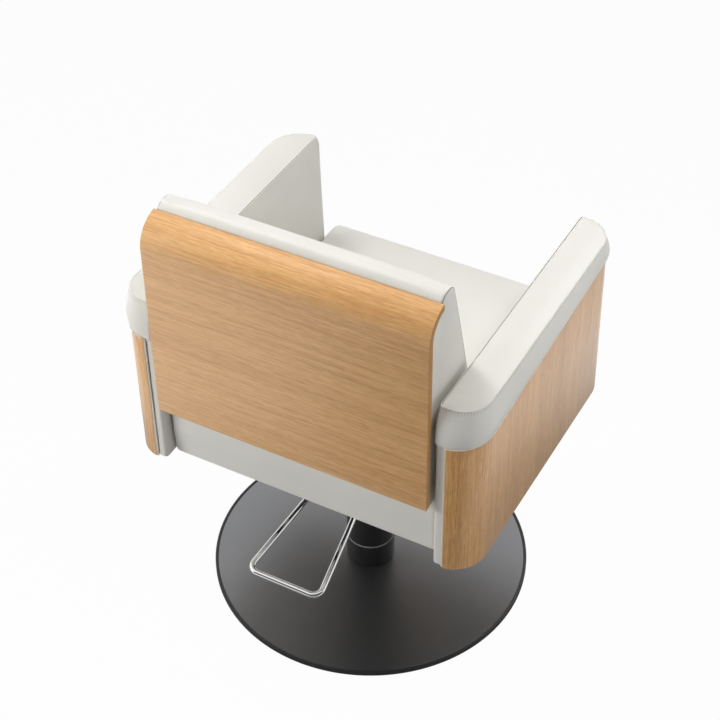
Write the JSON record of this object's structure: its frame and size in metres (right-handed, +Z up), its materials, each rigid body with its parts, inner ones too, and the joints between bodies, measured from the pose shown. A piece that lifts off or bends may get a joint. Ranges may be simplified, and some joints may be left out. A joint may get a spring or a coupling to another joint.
{
  "type": "hairdressing chair",
  "caption": "Hydraulic salon chair with a round flat base, a rear pump pedal, padded arms wrapped in bent plywood, and a plywood back panel with a rolled top over a wedge cushion.",
  "frame": {"origin": "centre of the base disc on the floor, on the axis of the column", "axes": "+Z up along the column, -Y towards where the sitter looks, +X to the left of the sitter"},
  "size_m": [0.673, 0.6753, 0.897],
  "materials": {
    "base_paint": "satin",
    "column_paint": "satin",
    "frame_paint": "satin",
    "glide_ring": "satin",
    "bush_plastic": "satin",
    "steel": "satin",
    "pedal_chrome": "polished",
    "ram_chrome": "polished",
    "cast_head": "matte",
    "seal_rubber": "matte",
    "wood_back": "satin",
    "wood_arm": "satin",
    "inner_timber": "matte",
    "seat_leather": "satin",
    "back_leather": "satin",
    "arm_leather": "satin"
  },
  "bodies": {
    "base": {"base_disc": "base_paint", "base_collar": "base_paint", "collar_ring": "glide_ring", "collar_screw_1": "steel", "collar_screw_2": "steel", "collar_screw_3": "steel", "collar_screw_4": "steel", "thrust_bearing": "steel"},
    "ram": {"ram": "ram_chrome", "piston_seal": "seal_rubber"},
    "seat": {"pump_barrel": "steel", "guide_bush": "bush_plastic", "column_sleeve": "column_paint", "pump_head": "cast_head", "plunger_spring": "steel", "seat_plate": "frame_paint", "seat_plate_bolt_1": "steel", "seat_plate_bolt_2": "steel", "seat_plate_bolt_3": "steel", "seat_plate_bolt_4": "steel", "cross_bar_front": "frame_paint", "cross_bar_rear": "frame_paint", "cross_bar_bolt_1": "steel", "cross_bar_bolt_2": "steel", "cross_bar_bolt_3": "steel", "cross_bar_bolt_4": "steel", "cross_bar_bolt_5": "steel", "cross_bar_bolt_6": "steel", "cross_bar_bolt_7": "steel", "cross_bar_bolt_8": "steel", "seat_board": "inner_timber", "seat_cushion": "seat_leather", "back_upright_left": "frame_paint", "back_upright_right": "frame_paint", "upright_bolt_1": "steel", "upright_bolt_2": "steel", "upright_bolt_3": "steel", "upright_bolt_4": "steel", "back_frame": "inner_timber", "back_panel": "wood_back", "back_cushion": "back_leather", "arm_shell_left": "wood_arm", "arm_shell_right": "wood_arm", "arm_core_left": "inner_timber", "arm_core_right": "inner_timber", "arm_upholstery_left": "arm_leather", "arm_upholstery_right": "arm_leather"},
    "pedal": {"pedal_bar": "pedal_chrome", "pedal_pin": "steel", "pedal_lever": "cast_head"},
    "plunger": {"pump_plunger": "steel"}
  },
  "joints": [
    {"name": "swivel", "type": "hinge", "parent": "base", "child": "ram", "pos_m": [0, 0, 0.02], "axis": [0, 0, 1], "continuous": true},
    {"name": "lift", "type": "slide", "parent": "ram", "child": "seat", "axis": [0, 0, 1], "range_m": [0, 0.14]},
    {"name": "pedal_press", "type": "hinge", "parent": "seat", "child": "pedal", "pos_m": [0, 0.064, 0.28], "axis": [-1, 0, 0], "range_deg": [0, 17], "stiffness_Nm_per_rad": 6, "springref_deg": -22.92},
    {"name": "plunger_stroke", "type": "slide", "parent": "seat", "child": "plunger", "axis": [0, 0, -1], "range_m": [0, 0.0072], "deforming": ["plunger_spring"]}
  ],
  "couplings": [
    {"joint": "plunger_stroke", "follows": "pedal_press", "m_per_rad": 0.0232}
  ]
}
